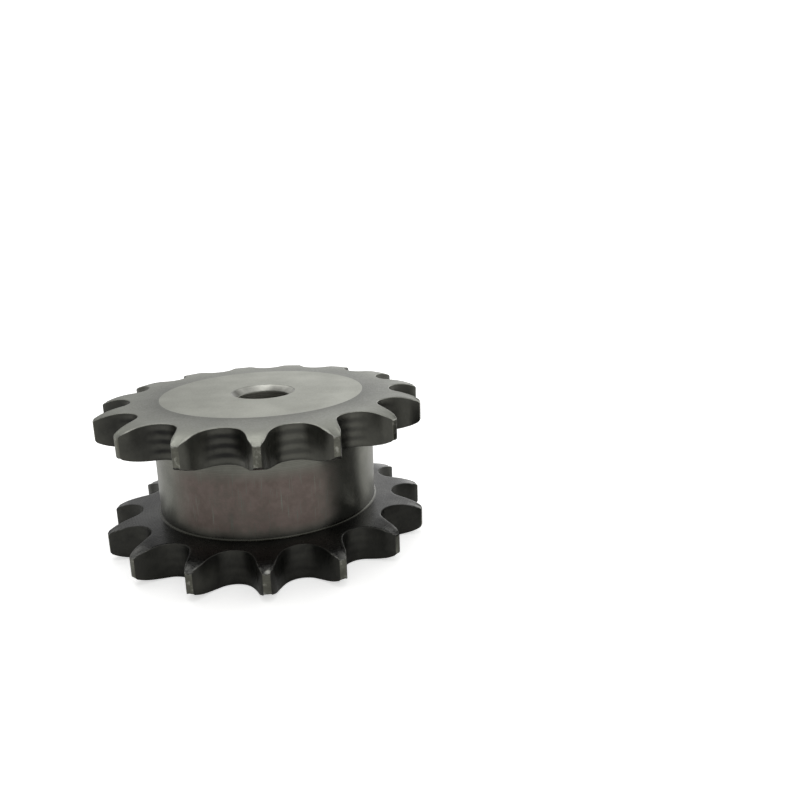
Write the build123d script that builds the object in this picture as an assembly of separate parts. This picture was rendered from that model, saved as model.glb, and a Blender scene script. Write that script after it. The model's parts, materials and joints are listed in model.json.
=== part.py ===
from build123d import *
import math
import os

# Double chain sprocket: two toothed rings at the ends of one thick hub, turned and hobbed from a
# single steel blank, for two strands of 19.05 mm pitch roller chain that run side by side.
# Millimetres, +Z along the bore, origin in the bore half way between the ends, a tooth space on +X.

# Chain
chain_pitch = 19.05
roller_diameter = 12.07
strand_spacing = 35.0

# Teeth
tooth_count = 15
tooth_width = 10.5
tooth_height = 4.1
seat_clearance = 0.115
seat_half_angle = 48.85
working_angle = 17.8
working_ratio = 1.31
topping_ratio = 0.75
cutter_overrun = 3.0

# Sides of the rings
land_diameter = 62.5
dish_depth = 0.2
side_radius = 19.0
side_relief = 2.0
tip_round = 0.5

# Hub and bore
hub_diameter = 68.0
hub_fillet = 0.6
bore_diameter = 16.0
bore_chamfer = 1.8

# Worked-out sizes
pitch_radius = chain_pitch / (2 * math.sin(math.pi / tooth_count))
tip_radius = pitch_radius + tooth_height
seat_radius = roller_diameter / 2 + seat_clearance
working_radius = working_ratio * roller_diameter
topping_radius = topping_ratio * roller_diameter
overall_height = strand_spacing + tooth_width
side_run = math.sqrt(side_radius**2 - (side_radius - side_relief) ** 2)
side_start = tip_radius - side_run
half_height = overall_height / 2
hub_radius = hub_diameter / 2
bore_radius = bore_diameter / 2


def side_arc(level, fall):
    """Rounded side of a tooth, from its inner end at that level to the tip, fall away from it."""
    half_turn = math.asin(side_run / side_radius) / 2
    share = side_radius * (1 - math.cos(half_turn)) / side_relief
    inner = (side_start, level)
    middle = (side_start + side_radius * math.sin(half_turn), level + share * fall)
    outer = (tip_radius, level + fall)
    ThreePointArc(inner, middle, outer)


def ring_section():
    """Half section of the upper toothed ring, from the bore to the tips."""
    inner = half_height - tooth_width
    dished = half_height - dish_depth
    with BuildSketch(Plane.XZ) as ring:
        with BuildLine():
            Line((bore_radius, half_height), (land_diameter / 2, half_height))
            Line((land_diameter / 2, half_height), (side_start, dished))
            side_arc(dished, -side_relief)
            Line((tip_radius, dished - side_relief), (tip_radius, inner + side_relief))
            side_arc(inner, side_relief)
            Line((side_start, inner), (bore_radius, inner))
            Line((bore_radius, inner), (bore_radius, half_height))
        make_face()
        fillet(ring.vertices().group_by(Axis.X)[-1], tip_round)
    return ring.sketch


def hub_section():
    """Half section of the hub, from the middle of one ring to the middle of the other."""
    return Plane.XZ * Rectangle(
        hub_radius - bore_radius, strand_spacing, align=(Align.MIN, Align.CENTER)
    ).moved(Pos(bore_radius, 0))


def blank():
    """Turned blank: rings and hub in one piece, inner corners rounded, mouths of the bore chamfered."""
    upper = ring_section()
    section = upper + mirror(upper, about=Plane.XY) + hub_section()
    section = chamfer(section.vertices().group_by(Axis.X)[0], bore_chamfer)
    corners = [v for v in section.vertices() if abs(v.X - hub_radius) < hub_fillet / 10]
    section = fillet(corners, hub_fillet)
    return revolve(section, axis=Axis.Z)


def along(angle, length):
    """Vector of the given length at an angle, in degrees, from +X."""
    return Vector(length, 0).rotate(Axis.Z, angle)


def tooth_space():
    """Outline the hob leaves: roller seat, hollow working flanks and rounded toppings, on +X."""
    seat_end = 180 - seat_half_angle
    flank_end = seat_end - working_angle
    seat_middle = Vector(pitch_radius, 0)
    flank_middle = seat_middle + along(seat_end, seat_radius - working_radius)
    topping_middle = flank_middle + along(flank_end, working_radius + topping_radius)
    outside = tip_radius + cutter_overrun
    with BuildSketch() as space:
        with BuildLine():
            CenterArc(flank_middle, working_radius, flank_end, working_angle)
            topping = CenterArc(topping_middle, topping_radius, flank_end - 180, 180 - flank_end)
            Line(topping @ 1, (outside, (topping @ 1).Y))
            Line((outside, (topping @ 1).Y), (outside, 0))
            mirror(about=Plane.XZ)
            CenterArc(seat_middle, seat_radius, seat_end, 2 * seat_half_angle)
        make_face()
    return space.sketch


def double_sprocket():
    """The finished sprocket: every tooth space cut straight through both rings of the blank."""
    hob_path = extrude(tooth_space(), half_height, both=True)
    spaces = [Rot(0, 0, k * 360 / tooth_count) * hob_path for k in range(tooth_count)]
    return blank() - spaces


os.makedirs("parts", exist_ok=True)
export_step(double_sprocket(), "parts/double_sprocket.step")
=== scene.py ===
import json
import logging
import math
from collections.abc import Callable
from dataclasses import dataclass, field
from enum import Enum
from typing import Any

import bmesh
import bpy
from mathutils import Matrix, Vector

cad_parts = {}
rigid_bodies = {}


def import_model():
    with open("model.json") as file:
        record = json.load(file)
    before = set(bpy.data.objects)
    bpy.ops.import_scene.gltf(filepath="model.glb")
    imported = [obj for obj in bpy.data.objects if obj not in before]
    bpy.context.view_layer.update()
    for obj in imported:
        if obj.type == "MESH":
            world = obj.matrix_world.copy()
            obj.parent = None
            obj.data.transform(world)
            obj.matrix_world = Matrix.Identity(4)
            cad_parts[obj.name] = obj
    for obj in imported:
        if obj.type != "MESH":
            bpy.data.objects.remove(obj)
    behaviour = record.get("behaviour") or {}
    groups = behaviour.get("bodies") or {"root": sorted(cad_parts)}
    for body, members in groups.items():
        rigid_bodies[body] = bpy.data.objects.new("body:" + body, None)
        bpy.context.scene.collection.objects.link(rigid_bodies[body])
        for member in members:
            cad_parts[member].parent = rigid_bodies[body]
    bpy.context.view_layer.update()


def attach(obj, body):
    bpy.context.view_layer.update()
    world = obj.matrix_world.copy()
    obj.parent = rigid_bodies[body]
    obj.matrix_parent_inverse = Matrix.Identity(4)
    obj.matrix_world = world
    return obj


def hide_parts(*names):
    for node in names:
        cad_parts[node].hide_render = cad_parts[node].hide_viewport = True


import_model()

# The dress of a double chain sprocket: one turned and hobbed steel body, remade with its fine edge
# breaks, its machined finishes, and the plain studio it lies in. Shapes are in metres. Finishes count
# in millimetres, because their patterns do.

# Short names for Blender's own types.
Tree = bpy.types.NodeTree
Socket = bpy.types.NodeSocket
Mesh = bmesh.types.BMesh
Vertex = bmesh.types.BMVert

log = logging.getLogger("double_sprocket")

MM = 0.001

# Points nearer to each other than this are one point, and nearer to a circle than that lie on it.
SAME_POINT = 0.001 * MM
ON_CIRCLE = 0.01 * MM

# The noise texture seldom leaves these limits, close for large patches and wider for fine grain.
PATCH_LIMITS = (0.36, 0.64)
GRAIN_LIMITS = (0.3, 0.7)

# Height of a place without marks, half way down one.
UNMARKED = 0.5

WHITE = "ffffff"


class Surface(Enum):
    """The machined surfaces of the body, in the order of its material slots."""

    FACED = 0
    DISHED = 1
    RING_SIDE = 2
    HOBBED = 3
    LAND = 4
    HUB = 5
    FILLET = 6
    BORE = 7
    MOUTH = 8
    RUBBED_EDGE = 9
    DULL_EDGE = 10


class Marks(Enum):
    """Which way the marks of a cutting tool run on a surface."""

    RINGS = "rings round the axis on a flat face"
    FEED = "lines round the body at even heights"


def linear(code: str) -> tuple[float, float, float, float]:
    """Turn an sRGB hex colour into the linear values a shader reads.

    Args:
        code: six hex digits, such as "a8a89e".

    Returns:
        Red, green, blue and an alpha of one.
    """
    parts = [int(code[i : i + 2], 16) / 255 for i in (0, 2, 4)]
    curve = [c / 12.92 if c <= 0.04045 else ((c + 0.055) / 1.055) ** 2.4 for c in parts]
    return (curve[0], curve[1], curve[2], 1.0)


def add_node(
    tree: Tree, kind: str, links: dict[Any, Any] | tuple[Any, ...], **settings: Any
) -> bpy.types.Node:
    """Add one shader node with its settings and its inputs.

    Where names repeat, an input goes by its number: a Mix takes its share at 0, numbers at 2 and 3
    and colours at 6 and 7. A Map Range takes a value, its two limits and what they turn into, which
    is nought and one unless given.

    Args:
        tree: the node tree that the node goes into.
        kind: the node's type, without the leading ShaderNode.
        links: what each input takes, by name or number or, in a tuple, in order: an output socket
            to link, or a value to set.
        **settings: properties of the node itself.

    Returns:
        The new node.
    """
    made = tree.nodes.new("ShaderNode" + kind)
    for name, value in settings.items():
        setattr(made, name, value)
    for name, value in links.items() if isinstance(links, dict) else enumerate(links):
        if isinstance(value, Socket):
            tree.links.new(value, made.inputs[name])
        else:
            made.inputs[name].default_value = value
    return made


def add_object(name: str, data: bpy.types.ID) -> bpy.types.Object:
    """Put a mesh, a light or a camera into the scene.

    Args:
        name: the object's name.
        data: what it shows.

    Returns:
        The object, at the origin.
    """
    made = bpy.data.objects.new(name, data)
    bpy.context.scene.collection.objects.link(made)
    return made


def add_mesh(name: str, mesh: Mesh) -> bpy.types.Object:
    """Put a modelled shape into the scene.

    Args:
        name: the object's name.
        mesh: the shape, which is used up.

    Returns:
        The object, at the origin.
    """
    data = bpy.data.meshes.new(name)
    mesh.to_mesh(data)
    mesh.free()
    return add_object(name, data)


@dataclass(frozen=True)
class Site:
    """The place on the body that a material is read at: sockets of its node tree, in millimetres.

    Attributes:
        tree: the material's node tree.
        where: the place itself.
        out: its distance from the axis.
        behind: how far it lies behind the axis, or before it where it is below nought.
        level: its height over the middle of the body.
    """

    tree: Tree
    where: Socket
    out: Socket
    behind: Socket
    level: Socket

    @classmethod
    def read(cls, tree: Tree) -> "Site":
        """Read the place from the body's own coordinates.

        Args:
            tree: the material's node tree, still empty.

        Returns:
            The place.
        """
        metres = add_node(tree, "TexCoord", {}).outputs["Object"]
        scaled = {"Vector": metres, "Scale": (1 / MM, 1 / MM, 1 / MM)}
        where = add_node(tree, "Mapping", scaled).outputs["Vector"]
        apart = add_node(tree, "SeparateXYZ", {0: where}).outputs
        flat = add_node(tree, "CombineXYZ", {"X": apart["X"], "Y": apart["Y"]}).outputs[0]
        out = add_node(tree, "VectorMath", {0: flat}, operation="LENGTH").outputs["Value"]
        return cls(tree, where, out, apart["Y"], apart["Z"])


@dataclass(frozen=True)
class Spot:
    """A round place on the body that is darker or lighter than its surroundings: a painted highlight,
    painted shade or light, or a spot of oil.

    Attributes:
        bearing: its direction from the axis, in degrees.
        reach: its distance from the axis, in millimetres, as level and size are.
        level: its height over the middle of the body.
        size: the radius at which it has faded out.
        strength: what it counts in its middle, below nought where it lightens the tone.
        core: the part of its radius that has its whole strength.
    """

    bearing: float
    reach: float
    level: float
    size: float
    strength: float = 1.0
    core: float = 0.4

    def share(self, site: Site) -> Socket:
        """How far a place on the body lies inside the spot.

        Args:
            site: the place.

        Returns:
            Nought outside the spot, its strength in its middle.
        """
        turn = math.radians(self.bearing)
        middle = (self.reach * math.cos(turn), self.reach * math.sin(turn), self.level)
        away = add_node(site.tree, "VectorMath", (site.where, middle), operation="DISTANCE").outputs["Value"]
        fade = {0: away, 1: self.size, 2: self.core * self.size, 4: self.strength}
        return add_node(site.tree, "MapRange", fade).outputs[0]


@dataclass(frozen=True)
class SteelFinish:
    """Bare low-carbon steel as one cutting tool left it, under a thin film of oil.

    The colour drifts between two close tones where the oil lies thicker, and the tool's marks run
    round the axis in grooves of uneven depth, so the surface looks worked and not painted. Sizes
    are in millimetres, apart from the depth of the marks.

    Attributes:
        name: what the finish is, and its material's name.
        light: the metal's tone where it is cleanest.
        dark: its tone where the oil lies thickest, and where painted shade is deepest.
        marks: which way the tool's marks run.
        spacing: the feed of the tool, from one mark to the next.
        depth: how deep the marks are, in metres.
        roughness: of the smoothest and of the dullest grain.
        streak: how far the marks, and not the patches of oil, colour the metal.
        stain: size of the patches of oil.
        reach: distance from the axis at which the marks end.
        worn: where they begin and cease to fade, counted from the reach.
        uneven: how far the marks differ in depth.
        uneven_scale: how often their depth changes from one to the next.
        wander: how far they stray from their place, in spacings.
        wander_scale: how often they stray in a millimetre.
        tone_spots: places with a darker or lighter tone: spots of oil, painted shade and painted light.
        spot_darkening: how much a spot darkens the tone.
        grain: size of the grain.
        grain_share: how much of the relief is grain, and not marks.
    """

    name: str
    light: str
    dark: str
    marks: Marks
    spacing: float
    depth: float
    roughness: tuple[float, float]
    streak: float = 0.2
    stain: float = 9.0
    reach: float = 100.0
    worn: tuple[float, float] = (-3.0, 1.0)
    uneven: float = 0.6
    uneven_scale: float = 0.9
    wander: float = 0.3
    wander_scale: float = 0.12
    tone_spots: tuple[Spot, ...] = ()
    spot_darkening: float = 0.5
    grain: float = 0.6
    grain_share: float = 0.25

    def make(self) -> bpy.types.Material:
        """Build the finish as a node material.

        Returns:
            The material, ready for a slot of the body.
        """
        material = bpy.data.materials.new(self.name)
        material.use_nodes = True
        tree = material.node_tree
        tree.nodes.clear()
        shader = add_node(tree, "BsdfPrincipled", self.surface(Site.read(tree)))
        add_node(tree, "OutputMaterial", {"Surface": shader.outputs["BSDF"]})
        return material

    def surface(self, site: Site) -> dict[str, Any]:
        """Work out what the shader takes at a place on the body.

        Args:
            site: the place.

        Returns:
            The value or the socket of each of the shader's inputs.
        """
        tree = site.tree
        grooves = self.grooves(site)
        grain = self.cloud(site, self.grain)
        colour = self.colour(site, self.cleanness(site, grooves))
        gloss = add_node(tree, "MapRange", (grain, *GRAIN_LIMITS, *self.roughness)).outputs[0]
        relief = add_node(tree, "Mix", {0: self.grain_share, 2: grooves, 3: grain}).outputs[0]
        bump = add_node(tree, "Bump", {"Height": relief, "Distance": self.depth, "Strength": 1.0})
        normal = bump.outputs["Normal"]
        return {"Base Color": colour, "Metallic": 1.0, "Roughness": gloss, "Normal": normal}

    def cleanness(self, site: Site, grooves: Socket) -> Socket:
        """How clean of oil the metal is, after its tone spots, painted shade and light among them, have
        darkened or lightened it.

        Args:
            site: the place on the body.
            grooves: the height of the tool marks there.

        Returns:
            Nought for the dark tone, one for the light one.
        """
        tree = site.tree
        stained = {0: self.streak, 2: self.cloud(site, self.stain), 3: grooves}
        tone = add_node(tree, "Mix", stained).outputs[0]
        clean = add_node(tree, "MapRange", (tone, *PATCH_LIMITS)).outputs[0]
        for tone_spot in self.tone_spots:
            darker = (tone_spot.share(site), -self.spot_darkening, clean)
            clean = add_node(tree, "Math", darker, operation="MULTIPLY_ADD").outputs[0]
        return clean

    def cloud(self, site: Site, size: float) -> Socket:
        """Soft random patches of about the given size in millimetres, from nought to one."""
        grain = {"Vector": site.where, "Scale": 1 / size, "Detail": 4.0, "Roughness": 0.6}
        return add_node(site.tree, "TexNoise", grain).outputs["Fac"]

    def colour(self, site: Site, clean: Socket) -> Socket:
        """Colour of the metal, between its dark and its light tone."""
        tones = {0: clean, 6: linear(self.dark), 7: linear(self.light)}
        return add_node(site.tree, "Mix", tones, data_type="RGBA").outputs[2]

    def grooves(self, site: Site) -> Socket:
        """Height of the tool marks: even feed grooves, each a little deeper or shallower.

        Args:
            site: the place on the body.

        Returns:
            A height from nought to one.
        """
        tree = site.tree
        across = site.level if self.marks is Marks.FEED else site.out
        strays = {"Vector": site.where, "Scale": self.wander_scale, "Detail": 1.0}
        wander = add_node(tree, "TexNoise", strays).outputs["Fac"]
        shift = (wander, self.wander * self.spacing, across)
        shifted = add_node(tree, "Math", shift, operation="MULTIPLY_ADD").outputs[0]
        turns = (shifted, math.tau / self.spacing)
        angle = add_node(tree, "Math", turns, operation="MULTIPLY").outputs[0]
        wave = add_node(tree, "Math", {0: angle}, operation="SINE").outputs[0]
        even = add_node(tree, "Math", (wave, 0.5, 0.5), operation="MULTIPLY_ADD").outputs[0]
        along = {"W": shifted, "Scale": self.uneven_scale / self.spacing, "Detail": 2.0, "Roughness": 0.8}
        uneven = add_node(tree, "TexNoise", along, noise_dimensions="1D").outputs["Fac"]
        cut = add_node(tree, "Mix", {0: self.uneven, 2: even, 3: uneven}).outputs[0]
        start, end = (self.reach + past for past in self.worn)
        worn = add_node(tree, "MapRange", (site.out, start, end)).outputs[0]
        return add_node(tree, "Mix", {0: worn, 2: cut, 3: UNMARKED}).outputs[0]


@dataclass(frozen=True)
class StepShadedSteel(SteelFinish):
    """Steel darkened by painted shade at the foot of a step, which fades outwards.

    Attributes:
        foot: distance of the step from the axis, in millimetres.
        clear: distance from the axis at which the painted shade has faded out.
        patchy: how far the patches of oil show through that.
    """

    foot: float = 31.25
    clear: float = 42.0
    patchy: float = 0.3

    def colour(self, site: Site, clean: Socket) -> Socket:
        """Colour of the metal, darkest at the foot of the step, where painted shade lies.

        Args:
            site: the place on the body.
            clean: how clean the patches of oil leave it.

        Returns:
            The colour.
        """
        out_of_shade = add_node(site.tree, "MapRange", (site.out, self.foot, self.clear)).outputs[0]
        both = add_node(site.tree, "Mix", {0: self.patchy, 2: out_of_shade, 3: clean}).outputs[0]
        return super().colour(site, both)


# Painted highlights on the tips that lie foremost: small spots of a lighter tone.
TIP_GLINTS = (
    Spot(-83.6, 49.3, -14.1, 0.9),
    Spot(-85.2, 49.6, -20.4, 1.0),
    Spot(-83.6, 48.4, 21.0, 1.1),
    Spot(-108.6, 49.3, 20.4, 1.0),
    Spot(-61.0, 49.4, 20.3, 0.9),
)

# Darker spots in roller seats of the upper ring, and lighter ones on two flanks.
SEAT_SPOTS = (
    Spot(-97.0, 39.8, 17.5, 7.0),
    Spot(-125.0, 43.0, 17.5, 9.5),
    Spot(-149.0, 43.5, 17.5, 10.0),
    Spot(-173.0, 44.0, 17.5, 10.0),
    Spot(-105.0, 45.5, 17.5, 4.5, -0.5),
    Spot(-105.5, 45.5, -17.5, 5.0, -1.0),
)

# The side of the bore's upper mouth on which oil has run down.
MOUTH_POOL = Spot(-178.0, 9.0, 21.9, 5.5)

# Painted shade and light on the upper side: a darker patch on the left of the centre; in the dish,
# a darker patch at the right, and a lighter one at the back left, painted light.
CENTRE_SHADE = Spot(-171.0, 31.0, 22.75, 34.0)
DISH_SHADE = Spot(-12.0, 39.0, 22.0, 24.0)
DISH_LIGHT = Spot(110.0, 39.0, 22.0, 36.0, -1.2)


@dataclass(frozen=True)
class RubbedGlintSteel(SteelFinish):
    """Steel whose tips chain and hands have rubbed bright in small spots, with painted highlights on the
    foremost tips.

    Attributes:
        rubbed: the tone of the bright spots.
        glint: the tone of the painted highlights on the foremost tips.
        inner: distance from the axis at which the spots begin, in millimetres.
        tip: distance from the axis at which they are brightest.
        spot: size of the spots.
        sparse: how few the spots are.
        spot_edge: how softly the spots end.
    """

    rubbed: str = "b8b8b0"
    glint: str = "a2a29c"
    inner: float = 45.0
    tip: float = 49.5
    spot: float = 1.3
    sparse: float = 0.47
    spot_edge: float = 0.13

    def colour(self, site: Site, clean: Socket) -> Socket:
        """Colour of the metal, brighter in spots towards the tips and in the painted highlights.

        Args:
            site: the place on the body.
            clean: how clean the patches of oil leave it.

        Returns:
            The colour.
        """
        tree = site.tree
        bare = super().colour(site, clean)
        near = add_node(tree, "MapRange", (site.out, self.inner, self.tip)).outputs[0]
        full = self.sparse + self.spot_edge
        ranged = (self.cloud(site, self.spot), self.sparse, full)
        spots = add_node(tree, "MapRange", ranged).outputs[0]
        share = add_node(tree, "Math", (near, spots), operation="MULTIPLY").outputs[0]
        tones = {0: share, 6: bare, 7: linear(self.rubbed)}
        worn = add_node(tree, "Mix", tones, data_type="RGBA").outputs[2]
        for glint_spot in TIP_GLINTS:
            tones = {0: glint_spot.share(site), 6: worn, 7: linear(self.glint)}
            worn = add_node(tree, "Mix", tones, data_type="RGBA").outputs[2]
        return worn


@dataclass(frozen=True)
class LowShadedSteel(SteelFinish):
    """Steel whose tone is darker lower down: painted shade, for the lower ring lying in the shade of the
    upper one.

    Down there the tool's marks are also made shallower, so that they hardly show.

    Attributes:
        unshaded_from: height in millimetres above which there is no painted shade.
        shaded_below: height below which the painted shade is deepest.
        filled: how much of the marks still shows where the painted shade is deepest.
        patchy: how far the patches of oil show through that.
    """

    unshaded_from: float = 4.0
    shaded_below: float = -12.0
    filled: float = 0.15
    patchy: float = 0.5

    def grooves(self, site: Site) -> Socket:
        """Height of the tool marks, shallower lower down.

        Args:
            site: the place on the body.

        Returns:
            A height from nought to one.
        """
        fade = (site.level, self.shaded_below, self.unshaded_from, self.filled, 1.0)
        left = add_node(site.tree, "MapRange", fade).outputs[0]
        cut = super().grooves(site)
        return add_node(site.tree, "Mix", {0: left, 2: UNMARKED, 3: cut}).outputs[0]

    def colour(self, site: Site, clean: Socket) -> Socket:
        """Colour of the metal, darkened lower down by painted shade.

        Args:
            site: the place on the body.
            clean: how clean the patches of oil leave it.

        Returns:
            The colour.
        """
        low_shade = add_node(site.tree, "MapRange", (site.level, self.shaded_below, self.unshaded_from)).outputs[0]
        both = add_node(site.tree, "Mix", {0: self.patchy, 2: low_shade, 3: clean}).outputs[0]
        return super().colour(site, both)


@dataclass(frozen=True)
class BrownReflectionSteel(LowShadedSteel):
    """Steel with a warm brown painted reflection on two of its sides, laid on as a dull skin that fades out
    towards both rings.

    Attributes:
        reflected_brown: the tone of the painted brown reflection where it is thickest.
        reflected_brown_fleck: the tone of its flecks.
        brown_metal: how metallic the layer of painted brown is.
        brown_roughness: how dull that layer is.
        patch: size of its patches, in millimetres.
        fleck: size of its flecks.
        span: heights of its lower and its upper end.
        span_fade: over what height it fades in at each.
        clear_of_axis: how far before or behind the axis it begins, and is whole.
        mottle: values of the patches at which it begins, and is whole.
        scratch: width of the scratches.
        scratch_stretch: their width as a part of their length.
        slant: how far they lean, in degrees.
        scratched: values of the scratches at which the painted brown is gone, and is whole.
        drawn_out: how far the turned marks draw the light out along the body.
    """

    # Painted shade darkens the hub towards its foot, beside the lower ring.
    unshaded_from: float = -8.8
    shaded_below: float = -11.9
    reflected_brown: str = "7f726c"
    reflected_brown_fleck: str = "72665f"
    brown_metal: float = 0.5
    brown_roughness: float = 0.5
    patch: float = 15.0
    fleck: float = 2.5
    span: tuple[float, float] = (-11.5, 8.5)
    span_fade: tuple[float, float] = (3.0, 4.0)
    clear_of_axis: tuple[float, float] = (23.6, 29.4)
    mottle: tuple[float, float] = (0.15, 0.48)
    scratch: float = 0.35
    scratch_stretch: float = 0.05
    slant: float = 35.0
    scratched: tuple[float, float] = (0.7, 0.64)
    drawn_out: float = 0.7

    def surface(self, site: Site) -> dict[str, Any]:
        """Work out what the shader takes at a place on the body, the painted brown reflection laid over the
        steel.

        Args:
            site: the place.

        Returns:
            The value or the socket of each of the shader's inputs.
        """
        tree = site.tree
        steel = super().surface(site)
        share = self.brown_cover(site)
        thick = add_node(tree, "MapRange", (self.cloud(site, self.fleck), *PATCH_LIMITS)).outputs[0]
        tones = {0: thick, 6: linear(self.reflected_brown_fleck), 7: linear(self.reflected_brown)}
        brown = add_node(tree, "Mix", tones, data_type="RGBA").outputs[2]
        tones = {0: share, 6: steel["Base Color"], 7: brown}
        gloss = {0: share, 2: steel["Roughness"], 3: self.brown_roughness}
        metal = {0: share, 2: steel["Metallic"], 3: self.brown_metal}
        return steel | {
            "Base Color": add_node(tree, "Mix", tones, data_type="RGBA").outputs[2],
            "Roughness": add_node(tree, "Mix", gloss).outputs[0],
            "Metallic": add_node(tree, "Mix", metal).outputs[0],
            "Tangent": add_node(tree, "CombineXYZ", {"Z": 1.0}).outputs[0],
            "Anisotropic": self.drawn_out,
        }

    def brown_cover(self, site: Site) -> Socket:
        """How much of the surface the painted brown reflection covers.

        Args:
            site: the place on the body.

        Returns:
            Nought for bare steel, one where the brown is whole.
        """
        tree = site.tree
        beside = add_node(tree, "Math", {0: site.behind}, operation="ABSOLUTE").outputs[0]
        low, high = self.span
        low_fade, high_fade = self.span_fade
        clouds = {0: 0.5, 2: self.cloud(site, self.patch), 3: self.cloud(site, self.fleck)}
        patches = add_node(tree, "Mix", clouds).outputs[0]
        limits = (
            (site.level, high, high - high_fade),
            (site.level, low, low + low_fade),
            (beside, *self.clear_of_axis),
            (patches, *self.mottle),
            (self.scratches(site), *self.scratched),
        )
        share = add_node(tree, "MapRange", limits[0]).outputs[0]
        for limit in limits[1:]:
            within = (share, add_node(tree, "MapRange", limit).outputs[0])
            share = add_node(tree, "Math", within, operation="MULTIPLY").outputs[0]
        return share

    def scratches(self, site: Site) -> Socket:
        """Long thin slanting streaks, where the painted brown reflection is broken.

        Args:
            site: the place on the body.

        Returns:
            High values along the scratches.
        """
        slant = (0.0, math.radians(self.slant), 0.0)
        drawn = (1 / self.scratch, 1 / self.scratch, self.scratch_stretch / self.scratch)
        placed = {"Vector": site.where, "Rotation": slant, "Scale": drawn}
        streaks = add_node(site.tree, "Mapping", placed).outputs["Vector"]
        grain = {"Vector": streaks, "Scale": 1.0, "Detail": 1.0}
        return add_node(site.tree, "TexNoise", grain).outputs["Fac"]


# Every finish is the same bare low-carbon steel. What differs is the tool, and tones set lighter or darker
# for the light each surface throws back where it stands: lit and shaded copies of one steel, painted light
# and shade.
# The marks of the finer feeds are under 0.2 mm apart in life; they are drawn coarser so that they show.
FINISHES: dict[Surface, SteelFinish] = {
    # Faced on a lathe with a fine feed: the brightest surface, with faint rings and a soft sheen.
    Surface.FACED: SteelFinish(
        name="faced_steel", light="a3a49a", dark="8d8e84", marks=Marks.RINGS, spacing=0.45,
        depth=0.008 * MM, roughness=(0.34, 0.46), streak=0.15, stain=14.0,
        tone_spots=(CENTRE_SHADE,), spot_darkening=0.35,
    ),
    # The shallow dish round it, cut with a coarser feed: toned a shade darker, and darkest along the step,
    # all painted shade.
    Surface.DISHED: StepShadedSteel(
        name="dished_steel", light="8c8d85", dark="676862", marks=Marks.RINGS, spacing=0.7,
        depth=0.015 * MM, roughness=(0.36, 0.5), stain=10.0,
        tone_spots=(DISH_SHADE, DISH_LIGHT), spot_darkening=0.7,
    ),
    # Inner sides of the rings, plunge-turned in the groove: toned dark as painted shade between the rings,
    # and rubbed only at the tips.
    Surface.RING_SIDE: RubbedGlintSteel(
        name="plunged_steel", light="50504e", dark="363635", marks=Marks.RINGS, spacing=0.8,
        depth=0.015 * MM, roughness=(0.25, 0.37), streak=0.25,
        rubbed="6e6e6b", tip=50.0, spot=2.4, sparse=0.4,
    ),
    # Tooth flanks and roller seats as the hob left them, with its feed waves in the seats: toned dark as
    # painted shade, and darker still lower down, painted shade too.
    Surface.HOBBED: LowShadedSteel(
        name="hobbed_steel", light="60605a", dark="2e2e2d", marks=Marks.FEED, spacing=2.65,
        depth=0.1 * MM, roughness=(0.32, 0.46), streak=0.7, stain=3.5, reach=42.5,
        uneven=0.4, tone_spots=SEAT_SPOTS, spot_darkening=1.0,
    ),
    # Narrow lands on the tips, left from the turned blank: a lighter line down each tooth.
    Surface.LAND: RubbedGlintSteel(
        name="turned_land_steel", light="76766d", dark="595952", marks=Marks.FEED, spacing=0.4,
        depth=0.01 * MM, roughness=(0.32, 0.44), stain=4.0,
        rubbed="9c9c94", spot=2.0, sparse=0.55,
    ),
    # The hub, turned with a steady feed: greenish grey, darker at its foot with painted shade, under a warm
    # brown painted reflection.
    Surface.HUB: BrownReflectionSteel(
        name="turned_hub_steel", light="87877f", dark="4c4c47", marks=Marks.FEED, spacing=0.5,
        depth=0.008 * MM, roughness=(0.32, 0.42), stain=14.0,
    ),
    # Roots of the hub, rounded by the tip of the form tool: smoother, so they catch a thin light line.
    Surface.FILLET: SteelFinish(
        name="form_turned_steel", light="5a5a54", dark="4a4a44", marks=Marks.FEED, spacing=0.3,
        depth=0.004 * MM, roughness=(0.24, 0.32), streak=0.15, stain=8.0,
    ),
    # The drilled bore: dull, with drill rings.
    Surface.BORE: SteelFinish(
        name="drilled_steel", light="98968e", dark="74736c", marks=Marks.FEED, spacing=0.6,
        depth=0.05 * MM, roughness=(0.45, 0.6), streak=0.5, stain=5.0,
    ),
    # Countersunk mouths of the bore: cones toned bright as a painted highlight, the lower one darkened by
    # painted shade, the upper one dulled by oil at one side.
    Surface.MOUTH: LowShadedSteel(
        name="countersunk_steel", light="d0d0c8", dark="5e5e58", marks=Marks.FEED, spacing=0.3,
        depth=0.008 * MM, roughness=(0.34, 0.46), stain=8.0,
        tone_spots=(MOUTH_POOL,), spot_darkening=1.4,
    ),
    # Edges of the upper side, broken with a file: toned a little brighter than what they part, a painted
    # highlight.
    Surface.RUBBED_EDGE: RubbedGlintSteel(
        name="filed_edge_steel", light="a2a39b", dark="7c7d76", marks=Marks.RINGS, spacing=0.5,
        depth=0.01 * MM, roughness=(0.34, 0.48), stain=4.0,
    ),
    # Edges further down: toned as dark as the flanks, painted shade.
    Surface.DULL_EDGE: RubbedGlintSteel(
        name="shaded_edge_steel", light="4e4e4a", dark="3c3c39", marks=Marks.RINGS, spacing=0.5,
        depth=0.01 * MM, roughness=(0.4, 0.55), stain=4.0,
        rubbed="94948e", spot=2.2, sparse=0.48,
    ),
}


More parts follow.
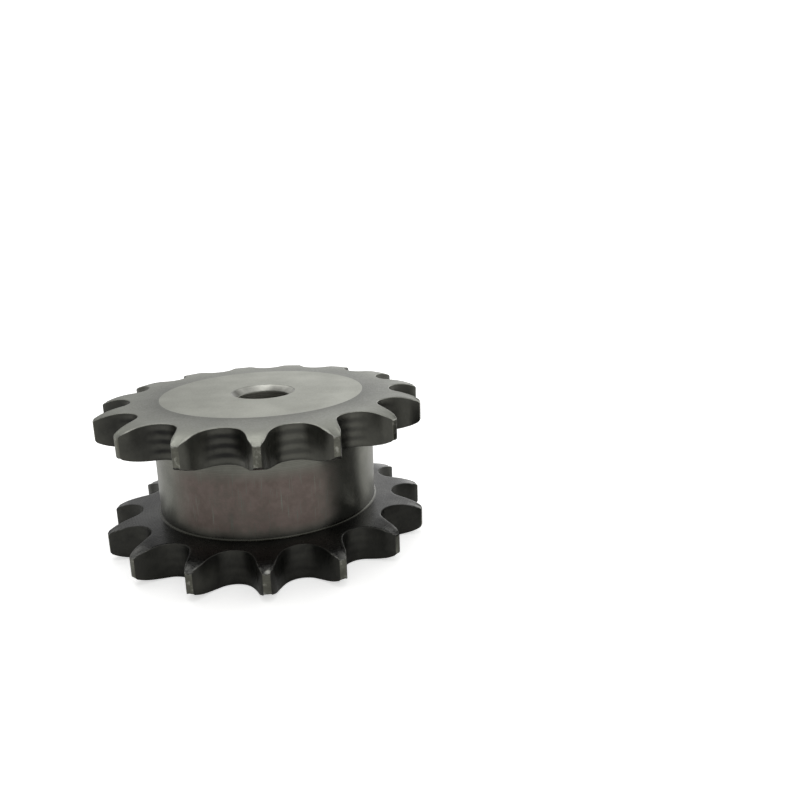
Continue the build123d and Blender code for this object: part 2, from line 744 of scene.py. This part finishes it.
@dataclass
class ToothForm:
    """Plan outline of the teeth: roller seats, hollow working flanks, rounded toppings, tip lands.

    Angles are in degrees, ratios are of the roller's diameter, and steps are edges along an arc.
    """

    pitch: float = 19.05 * MM
    count: int = 15
    roller: float = 12.07 * MM
    height: float = 4.1 * MM
    clearance: float = 0.115 * MM
    seat_angle: float = 48.85
    working_angle: float = 17.8
    working_ratio: float = 1.31
    topping_ratio: float = 0.75
    seat_steps: int = 12
    working_steps: int = 5
    topping_steps: int = 9

    @property
    def pitch_radius(self) -> float:
        """Radius of the circle through the middles of the chain's rollers."""
        return self.pitch / (2 * math.sin(math.pi / self.count))

    @property
    def tip_radius(self) -> float:
        """Radius over the tips of the teeth."""
        return self.pitch_radius + self.height

    def turn(self, mesh: Mesh, start: Vertex, centre: Vector, angle: float, steps: int) -> Vertex:
        """Draw an arc from a vertex by spinning it.

        Args:
            mesh: the mesh being drawn in.
            start: the vertex that the arc starts from.
            centre: the middle of the arc.
            angle: how far it turns, in radians, counter-clockwise.
            steps: how many edges it has.

        Returns:
            The vertex at the end of the arc.
        """
        swept = bmesh.ops.spin(
            mesh, geom=[start], cent=centre, axis=(0, 0, 1), angle=angle, steps=steps, use_merge=False
        )
        return next(v for v in swept["geom_last"] if isinstance(v, Vertex))

    def draw(self, mesh: Mesh) -> None:
        """Draw the closed outline in the plane of the origin.

        Args:
            mesh: an empty mesh.
        """
        seat = self.roller / 2 + self.clearance
        working = self.working_ratio * self.roller
        topping = self.topping_ratio * self.roller
        seat_middle = Vector((self.pitch_radius, 0, 0))
        first = math.radians(180 - self.seat_angle)
        second = math.radians(180 - self.seat_angle - self.working_angle)
        towards_first = Vector((math.cos(first), math.sin(first), 0))
        towards_second = Vector((math.cos(second), math.sin(second), 0))
        flank_middle = seat_middle + towards_first * (seat - working)
        top_middle = flank_middle + towards_second * (working + topping)
        out = top_middle.length
        meet = math.acos((out**2 + topping**2 - self.tip_radius**2) / (2 * out * topping))
        last = math.atan2(-top_middle.y, -top_middle.x) + meet
        start = mesh.verts.new((self.pitch_radius - seat, 0, 0))
        corner = self.turn(mesh, start, seat_middle, -math.radians(self.seat_angle), self.seat_steps)
        corner = self.turn(mesh, corner, flank_middle, -math.radians(self.working_angle), self.working_steps)
        corner = self.turn(mesh, corner, top_middle, last - (second - math.pi), self.topping_steps)
        half_tooth = math.pi / self.count - math.atan2(corner.co.y, corner.co.x)
        self.turn(mesh, corner, Vector(), half_tooth, 1)
        bmesh.ops.mirror(mesh, geom=mesh.verts[:] + mesh.edges[:], axis="Y", merge_dist=SAME_POINT)
        bmesh.ops.spin(
            mesh,
            geom=mesh.verts[:] + mesh.edges[:],
            cent=(0, 0, 0),
            axis=(0, 0, 1),
            angle=math.tau * (self.count - 1) / self.count,
            steps=self.count - 1,
            use_duplicate=True,
        )
        bmesh.ops.remove_doubles(mesh, verts=mesh.verts[:], dist=SAME_POINT)


@dataclass(frozen=True)
class Row:
    """One row of vertices round the body.

    Attributes:
        surface: what the faces that lead up to the row are.
        reach: gives its distance from the axis, from that of the tooth outline.
        height: gives its height, from its distance from the axis.
    """

    surface: Surface
    reach: Callable[[float], float]
    height: Callable[[float], float]


@dataclass
class SprocketBody:
    """The one-piece steel body: two toothed rings, the hub between them and the bore.

    Attributes:
        teeth: plan outline of the teeth, the same for both rings.
        strand_spacing: from the middle of one ring to the middle of the other.
        tooth_width: thickness of a ring.
        land_radius: radius of the flat centre of each end face.
        dish: how deep the face lies beyond that.
        side_radius: radius of the rounded sides of the teeth.
        side_relief: how far those sides have fallen away at the tips.
        tip_ease: how far the corners of the tips are eased over, and from how far in.
        edge_break: width of the small rounds on the sharp edges.
        sharp_bend: edges that bend more than this, in degrees, are sharp.
        foot_run: how far out the dish runs down hollow from the centre.
        foot_share: the part of its depth that it has there.
        rim: radius from which the rows of faces run out to the teeth.
        lean: how strongly the shading leans on the large faces.
    """

    teeth: ToothForm = field(default_factory=ToothForm)
    strand_spacing: float = 35.0 * MM
    tooth_width: float = 10.5 * MM
    land_radius: float = 31.25 * MM
    dish: float = 0.2 * MM
    side_radius: float = 19.0 * MM
    side_relief: float = 2.0 * MM
    tip_ease: float = 0.3 * MM
    hub_radius: float = 34.0 * MM
    fillet: float = 0.6 * MM
    bore_radius: float = 8.0 * MM
    chamfer: float = 1.8 * MM
    edge_break: float = 0.2 * MM
    sharp_bend: float = 28.0
    foot_run: float = 3.0 * MM
    foot_share: float = 0.6
    rim: float = 36.0 * MM
    side_rows: int = 7
    fillet_rows: int = 6
    foot_rows: int = 4
    lean: int = 60

    @property
    def half_height(self) -> float:
        """Height of the upper end face over the middle of the body."""
        return (self.strand_spacing + self.tooth_width) / 2

    @property
    def side_start(self) -> float:
        """Radius where the sides of the teeth begin to fall away."""
        run = math.sqrt(self.side_radius**2 - (self.side_radius - self.side_relief) ** 2)
        return self.teeth.tip_radius - run

    def fall(self, radius: float) -> float:
        """How far the rounded side of a tooth, eased over at its tip, has fallen away.

        Args:
            radius: distance from the axis.

        Returns:
            The drop from the flat of the ring's side.
        """
        past = max(radius - self.side_start, 0.0)
        ease = max((radius - self.teeth.tip_radius) / self.tip_ease + 1, 0.0)
        return self.side_radius - math.sqrt(self.side_radius**2 - past**2) + self.tip_ease * ease**2

    def outer_side(self, radius: float) -> float:
        """Height of the upper ring's outer side, where the dish runs out hollow from the land.

        Args:
            radius: distance from the axis.

        Returns:
            The height over the middle of the body.
        """
        beyond = max(radius - self.land_radius, 0.0)
        foot = 1 - (1 - min(beyond / self.foot_run, 1.0)) ** 2
        slope = min(beyond / (self.side_start - self.land_radius), 1.0)
        sunk = self.foot_share * foot + (1 - self.foot_share) * slope
        return self.half_height - self.dish * sunk - self.fall(radius)

    def inner_side(self, radius: float) -> float:
        """Height of the upper ring's inner side at a radius."""
        return self.half_height - self.tooth_width + self.fall(radius)

    def share_of_rim(self, share: float) -> Callable[[float], float]:
        """Reach of a row that lies part of the way from the rim circle out to the tooth outline.

        Args:
            share: nought at the rim circle, one at the outline.

        Returns:
            A function from the outline's radius to the row's.
        """
        return lambda outline: self.rim + share * (outline - self.rim)

    def upper_rows(self) -> list[Row]:
        """Plan the rows of the upper half of the body.

        Returns:
            Rows from the middle of the hub, over the upper ring, to the middle of the bore.
        """
        shares = [i / (self.side_rows - 1) for i in range(self.side_rows)]
        rows = [Row(Surface.HUB, lambda _: self.hub_radius, lambda _: self.inner_side(0) - self.fillet)]
        for step in range(1, self.fillet_rows + 1):
            angle = math.pi / 2 * step / self.fillet_rows
            out = self.hub_radius + self.fillet * (1 - math.cos(angle))
            up = self.inner_side(0) - self.fillet * (1 - math.sin(angle))
            rows.append(Row(Surface.FILLET, lambda _, r=out: r, lambda _, z=up: z))
        rows += [Row(Surface.RING_SIDE, self.share_of_rim(s), self.inner_side) for s in shares]
        rows.append(Row(Surface.HOBBED, self.share_of_rim(1), self.outer_side))
        rows += [Row(Surface.DISHED, self.share_of_rim(s), self.outer_side) for s in shares[-2::-1]]
        for step in range(self.foot_rows, -1, -1):
            out = self.land_radius + self.foot_run * step / self.foot_rows
            rows.append(Row(Surface.DISHED, lambda _, r=out: r, self.outer_side))
        mouth = self.bore_radius + self.chamfer
        throat = self.half_height - self.chamfer
        rows.append(Row(Surface.FACED, lambda _: mouth, self.outer_side))
        rows.append(Row(Surface.MOUTH, lambda _: self.bore_radius, lambda _: throat))
        rows.append(Row(Surface.BORE, lambda _: self.bore_radius, lambda _: 0.0))
        return rows

    def sweep_rows(self, mesh: Mesh) -> None:
        """Grow the upper half of the body from the tooth outline, one row of faces at a time.

        Args:
            mesh: a mesh that holds the outline and the layer with its radii.
        """
        outline = mesh.verts.layers.float["outline"]
        for vertex in mesh.verts:
            vertex[outline] = vertex.co.length
            vertex.co *= self.hub_radius / vertex.co.length
        edges = mesh.edges[:]
        for row in self.upper_rows():
            grown = bmesh.ops.extrude_edge_only(mesh, edges=edges)["geom"]
            for vertex in (g for g in grown if isinstance(g, Vertex)):
                radius = row.reach(vertex[outline])
                around = Vector((vertex.co.x, vertex.co.y, 0)).normalized() * radius
                vertex.co = (around.x, around.y, row.height(radius))
            for face in (g for g in grown if isinstance(g, bmesh.types.BMFace)):
                face.material_index = self.surface_of(face, row.surface).value
            edges = [g for g in grown if isinstance(g, bmesh.types.BMEdge)]

    def surface_of(self, face: bmesh.types.BMFace, surface: Surface) -> Surface:
        """Surface that a new face belongs to: between two flanks, the turned land of the tip."""
        on_tip = all(v.co.xy.length > self.teeth.tip_radius - ON_CIRCLE for v in face.verts)
        return Surface.LAND if surface is Surface.HOBBED and on_tip else surface

    def break_edges(self, mesh: Mesh) -> None:
        """Break every sharp edge of the teeth and of the bore's mouths with a small round.

        Args:
            mesh: the closed body.
        """
        bend = math.radians(self.sharp_bend)
        sharp = [e for e in mesh.edges if len(e.link_faces) == 2 and e.calc_face_angle() > bend]
        turned = {Surface.HUB.value, Surface.FILLET.value}
        sharp = [e for e in sharp if not turned & {f.material_index for f in e.link_faces}]
        broken = bmesh.ops.bevel(
            mesh,
            geom=sharp,
            offset=self.edge_break,
            offset_type="OFFSET",
            segments=2,
            profile=0.5,
            affect="EDGES",
            clamp_overlap=True,
            material=-1,
        )
        for face in broken["faces"]:
            # Edges high on the upper side take the painted highlight, all others the painted shade.
            upper = face.calc_center_median().z > self.strand_spacing / 2
            edge = Surface.RUBBED_EDGE if upper else Surface.DULL_EDGE
            upright = abs(face.normal.z) < 0.1
            face.material_index = (Surface.LAND if upright else edge).value

    def build(self) -> bpy.types.Object:
        """Model the body.

        Returns:
            The body as an object at the origin, without materials.
        """
        mesh = bmesh.new()
        mesh.verts.layers.float.new("outline")
        self.teeth.draw(mesh)
        self.sweep_rows(mesh)
        whole = mesh.verts[:] + mesh.edges[:] + mesh.faces[:]
        bmesh.ops.mirror(mesh, geom=whole, axis="Z", merge_dist=SAME_POINT)
        bmesh.ops.remove_doubles(mesh, verts=mesh.verts[:], dist=SAME_POINT)
        bmesh.ops.recalc_face_normals(mesh, faces=mesh.faces[:])
        self.break_edges(mesh)
        for face in mesh.faces:
            face.smooth = True
        return add_mesh("sprocket_body", mesh)

    def dress(self, body: bpy.types.Object) -> None:
        """Give the body its finishes and lean its shading on its large faces.

        Args:
            body: the modelled body.
        """
        for surface in Surface:
            body.data.materials.append(FINISHES[surface].make())
        lean = body.modifiers.new("shading", "WEIGHTED_NORMAL")
        lean.mode = "FACE_AREA"
        lean.weight = self.lean
        lean.keep_sharp = True

    def place(self) -> bpy.types.Object:
        """Build and dress the body, and set it in for the CAD solid.

        Returns:
            The finished body.
        """
        body = self.build()
        self.dress(body)
        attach(body, "root")
        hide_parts("double_sprocket")
        return body


@dataclass(frozen=True)
class Softbox:
    """A square softbox that hangs in the studio and faces the sprocket, its power in watts."""

    name: str
    place: tuple[float, float, float]
    size: float
    power: float

    def hang(self) -> None:
        """Hang the softbox in its place and turn it to the sprocket."""
        data = bpy.data.lights.new(self.name, "AREA")
        data.size = self.size
        data.energy = self.power
        light = add_object(self.name, data)
        light.location = self.place
        light.rotation_euler = (-light.location).to_track_quat("-Z", "Y").to_euler()


@dataclass
class Studio:
    """A pale floor, a soft white room, a dark screen, softboxes and the camera.

    Attributes:
        floor_level: height of the floor.
        board: colour of the floor.
        floor_glow: how far the floor is lit from below.
        room: tone of the room before the sprocket, and room_end its tone at the left.
        wall: tone of the wall behind the sprocket, and wall_end its tone at the left and overhead.
        wall_from: how far back the room begins to turn into the wall, and has turned.
        left_dim: how far to the left it is dimmest, and no longer dim.
        overhead_dim: how high up the wall is dimmest, and no longer dim.
        strength: how strong the light of the room is.
        screen: colour of the screen, whose bearing is in degrees.
        softboxes: the lights overhead.
        distance: from the camera to the middle of the sprocket's upper side.
        azimuth, elevation, roll: how the camera stands, in degrees.
        lens, sensor: focal length and sensor width, in millimetres.
        aim: the pixel of a square frame that the middle of the upper side falls on.
        frame_size: side of that frame, in pixels.
        nearest: what is nearer to the camera than this isn't seen.
    """

    floor_level: float
    board: str = "f4f4f2"
    floor_radius: float = 4.0
    floor_glow: float = 0.58
    room: str = "9c9c9c"
    room_end: str = "747474"
    wall: str = WHITE
    wall_end: str = "8c8c8c"
    wall_from: tuple[float, float] = (-0.6, 0.5)
    left_dim: tuple[float, float] = (-0.45, 0.25)
    overhead_dim: tuple[float, float] = (0.7, 0.15)
    strength: float = 1.86
    screen: str = "050505"
    screen_distance: float = 64.0 * MM
    screen_bearing: float = 72.0
    screen_width: float = 50.0 * MM
    screen_height: float = 38.0 * MM
    softboxes: tuple[Softbox, ...] = (
        Softbox("main_softbox", place=(-0.26, 0.5, 1.2), size=1.0, power=5.4),
        Softbox("top_softbox", place=(0.0, -0.3, 1.2), size=0.3, power=1.0),
    )
    distance: float = 220.4 * MM
    azimuth: float = 9.07
    elevation: float = 12.89
    roll: float = -4.056
    lens: float = 30.804
    aim: tuple[float, float] = (263.2, 391.85)
    frame_size: float = 800.0
    sensor: float = 36.0
    nearest: float = 5.0 * MM

    def set_stage(self, name: str, mesh: Mesh, material: bpy.types.Material) -> bpy.types.Object:
        """Stand a finished mesh in the studio as a part of it, and not of the sprocket.

        Args:
            name: the piece's name.
            mesh: its shape, which is used up.
            material: its finish.

        Returns:
            The piece.
        """
        piece = add_mesh(name, mesh)
        piece.data.materials.append(material)
        return piece

    def lay_floor(self) -> None:
        """Lay a wide round floor under the sprocket."""
        mesh = bmesh.new()
        bmesh.ops.create_circle(mesh, cap_ends=True, segments=96, radius=self.floor_radius)
        bmesh.ops.translate(mesh, verts=mesh.verts[:], vec=(0, 0, self.floor_level))
        self.set_stage("floor", mesh, self.floor_finish())

    def floor_finish(self) -> bpy.types.Material:
        """Matt white studio board, lit a little from below so that the shadow on it stays light.

        Returns:
            The material.
        """
        material = bpy.data.materials.new("matt_white_board")
        material.use_nodes = True
        tree = material.node_tree
        shader = tree.nodes["Principled BSDF"]
        shader.inputs["Base Color"].default_value = linear(self.board)
        shader.inputs["Roughness"].default_value = 0.9
        shader.inputs["Emission Color"].default_value = linear(WHITE)
        seen = add_node(tree, "LightPath", {}).outputs["Is Camera Ray"]
        glow = add_node(tree, "Math", (seen, self.floor_glow), operation="MULTIPLY")
        tree.links.new(glow.outputs[0], shader.inputs["Emission Strength"])
        return material

    def stand_screen(self) -> None:
        """Stand a small dark screen beside the sprocket, which only shows as a dark band in the hub."""
        mesh = bmesh.new()
        bmesh.ops.create_grid(mesh, x_segments=1, y_segments=1, size=0.5)
        bmesh.ops.scale(mesh, verts=mesh.verts[:], vec=(self.screen_width, self.screen_height, 1))
        bmesh.ops.rotate(mesh, verts=mesh.verts[:], matrix=Matrix.Rotation(math.pi / 2, 3, "X"))
        low = self.floor_level + self.screen_height / 2
        bmesh.ops.translate(mesh, verts=mesh.verts[:], vec=(0, -self.screen_distance, low))
        turn = Matrix.Rotation(math.radians(self.screen_bearing), 3, "Z")
        bmesh.ops.rotate(mesh, verts=mesh.verts[:], matrix=turn)
        # Black flock, a cloth of short fibres: it takes in nearly all light and has no sheen.
        cloth = bpy.data.materials.new("black_flock")
        cloth.use_nodes = True
        shader = cloth.node_tree.nodes["Principled BSDF"]
        shader.inputs["Base Color"].default_value = linear(self.screen)
        shader.inputs["Roughness"].default_value = 1.0
        screen = self.set_stage("dark_screen", mesh, cloth)
        screen.visible_camera = False
        screen.visible_diffuse = False
        screen.visible_shadow = False

    def light_room(self) -> None:
        """Fill the room with soft light: a white wall behind, a dim room before, both dimmer at the left."""
        world = bpy.data.worlds.new("studio_room")
        bpy.context.scene.world = world
        world.use_nodes = True
        tree = world.node_tree
        tree.nodes.clear()
        place = add_node(tree, "TexCoord", {}).outputs["Generated"]
        towards = add_node(tree, "SeparateXYZ", {0: place}).outputs
        behind = (towards["Y"], *self.wall_from)
        share = add_node(tree, "MapRange", behind, interpolation_type="SMOOTHSTEP").outputs[0]
        aside = add_node(tree, "MapRange", (towards["X"], *self.left_dim)).outputs[0]
        above = add_node(tree, "MapRange", (towards["Z"], *self.overhead_dim)).outputs[0]
        lit = add_node(tree, "Math", (aside, above), operation="MULTIPLY").outputs[0]
        across = {0: lit, 6: linear(self.wall_end), 7: linear(self.wall)}
        wall = add_node(tree, "Mix", across, data_type="RGBA").outputs[2]
        across = {0: aside, 6: linear(self.room_end), 7: linear(self.room)}
        room = add_node(tree, "Mix", across, data_type="RGBA").outputs[2]
        ends = {0: share, 6: room, 7: wall}
        tone = add_node(tree, "Mix", ends, data_type="RGBA").outputs[2]
        seen = add_node(tree, "LightPath", {}).outputs["Is Camera Ray"]
        shown = {0: seen, 6: tone, 7: linear(WHITE)}
        colour = add_node(tree, "Mix", shown, data_type="RGBA").outputs[2]
        back = add_node(tree, "Background", {"Color": colour, "Strength": self.strength})
        add_node(tree, "OutputWorld", {"Surface": back.outputs[0]})

    def set_camera(self, target: Vector) -> None:
        """Stand the camera at the viewing angle, turned so that the target falls on the aim point.

        Args:
            target: the middle of the sprocket's upper side.
        """
        turn, tilt = math.radians(self.azimuth), math.radians(self.elevation)
        back = Vector((math.sin(turn) * math.cos(tilt), -math.cos(turn) * math.cos(tilt), math.sin(tilt)))
        straight = (-back).to_track_quat("-Z", "Y").to_matrix()
        rolled = straight @ Matrix.Rotation(math.radians(self.roll), 3, "Z")
        focal = self.lens / self.sensor * self.frame_size
        middle = self.frame_size / 2
        aside = Vector((self.aim[0] - middle, middle - self.aim[1], -focal))
        swing = Vector((0, 0, -1)).rotation_difference(aside).to_matrix()
        data = bpy.data.cameras.new("camera")
        data.lens = self.lens
        data.sensor_width = self.sensor
        data.clip_start = self.nearest
        camera = add_object("camera", data)
        facing = (rolled @ swing.inverted()).to_4x4()
        camera.matrix_world = Matrix.Translation(target + back * self.distance) @ facing
        bpy.context.scene.camera = camera

    def build(self, target: Vector) -> None:
        """Set up the floor, the screen, the light and the camera round the sprocket.

        Args:
            target: the middle of the sprocket's upper side.
        """
        bpy.context.scene.view_settings.view_transform = "Standard"
        self.lay_floor()
        self.stand_screen()
        self.light_room()
        for softbox in self.softboxes:
            softbox.hang()
        self.set_camera(target)


def main() -> None:
    """Build the sprocket and its studio."""
    logging.basicConfig(level=logging.INFO, format="%(name)s: %(message)s")
    sprocket = SprocketBody()
    body = sprocket.place()
    log.info("sprocket body: %d faces", len(body.data.polygons))
    upper_side = Vector((0, 0, sprocket.half_height - sprocket.dish))
    Studio(floor_level=-sprocket.half_height).build(upper_side)
    log.info("studio: floor, screen, room light, softboxes and camera")
    bpy.context.view_layer.update()


if __name__ == "__main__":
    main()
